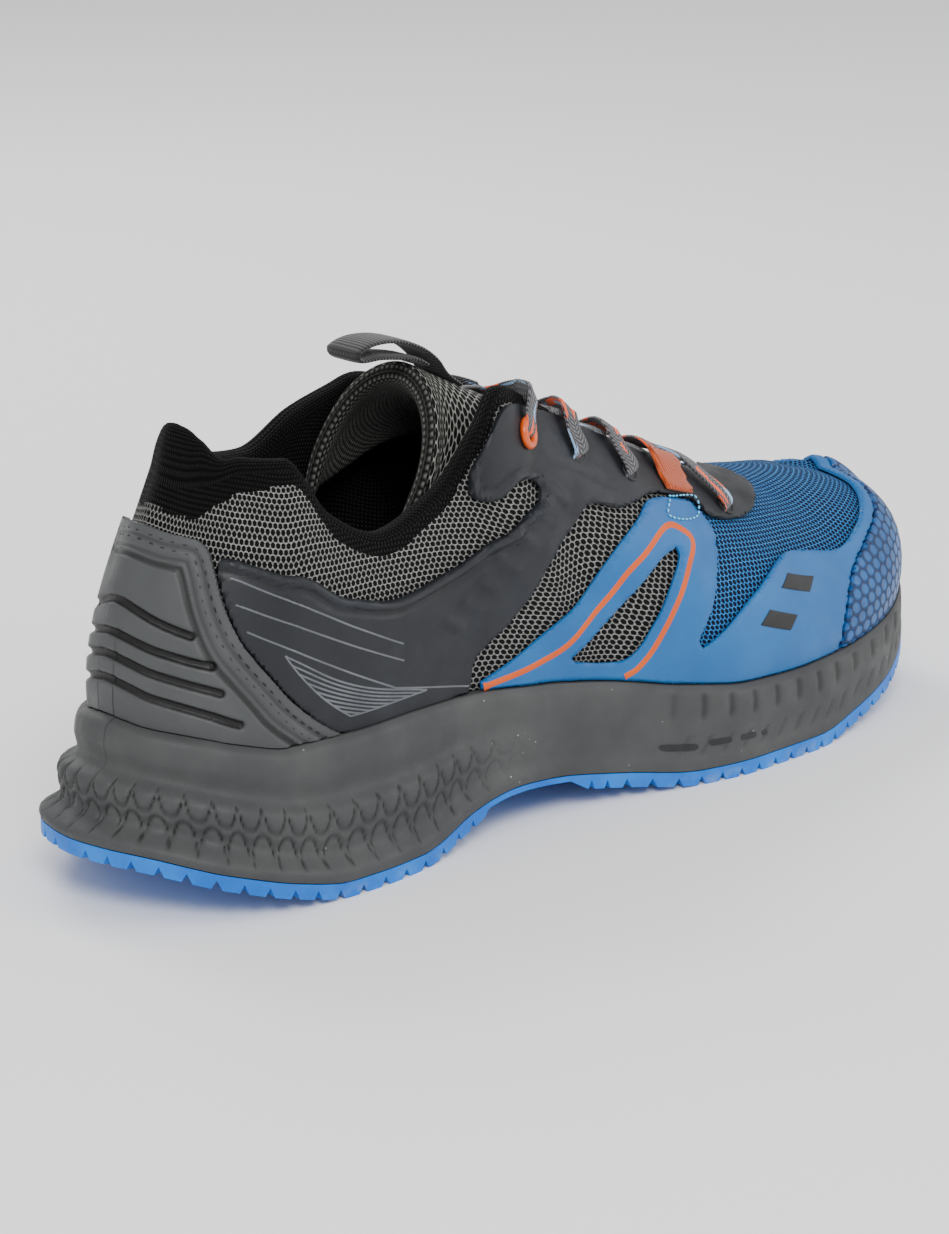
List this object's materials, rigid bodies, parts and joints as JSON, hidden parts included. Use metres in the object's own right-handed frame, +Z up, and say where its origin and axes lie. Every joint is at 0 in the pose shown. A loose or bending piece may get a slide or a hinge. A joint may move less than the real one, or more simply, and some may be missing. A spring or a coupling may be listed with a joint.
{
  "type": "outdoor shoe",
  "caption": "Low trail shoe for the right foot: ribbed foam midsole, lugged rubber sole, mesh upper with fused overlays, heel counter, hooded tongue and flat lace.",
  "frame": {"origin": "middle of the sole's box in plan, on the floor plane the lugs stand on", "axes": "+X from heel to toe, +Z up, +Y to the inner side of the foot, so the outer side is -Y"},
  "size_m": [0.3004, 0.1042, 0.1308],
  "materials": {
    "orange_plastic": "smooth plastic ring",
    "counter_tpu": "moulded plastic, fine grain",
    "footbed": "brushed textile over foam",
    "lace_braid": "flat braid with flecks",
    "orange_webbing": "flat orange webbing",
    "midsole_foam": "moulded foam with a fine pebble, satin",
    "outsole_rubber": "moulded rubber, matt, lightly scuffed",
    "dark_overlay": "fused film, satin",
    "toe_film": "moulded film with a honeycomb",
    "tongue_mesh": "mesh over padding",
    "webbing": "ribbed dark webbing",
    "mesh": "open hexagonal mesh over a dark backing",
    "blue_overlay": "fused film, satin"
  },
  "bodies": {
    "root": {"eyelet_lateral": "orange_plastic", "eyelet_medial": "orange_plastic", "heel_counter": "counter_tpu", "insole": "footbed", "lace": "lace_braid", "lace_keeper_lateral": "orange_webbing", "lace_keeper_medial": "orange_webbing", "midsole": "midsole_foam", "outsole": "outsole_rubber", "quarter_overlay_lateral": "dark_overlay", "quarter_overlay_medial": "dark_overlay", "toe_cap": "toe_film", "tongue": "tongue_mesh", "tongue_loop": "webbing", "upper": "mesh", "vamp_overlay_lateral": "blue_overlay", "vamp_overlay_medial": "blue_overlay"}
  },
  "joints": []
}
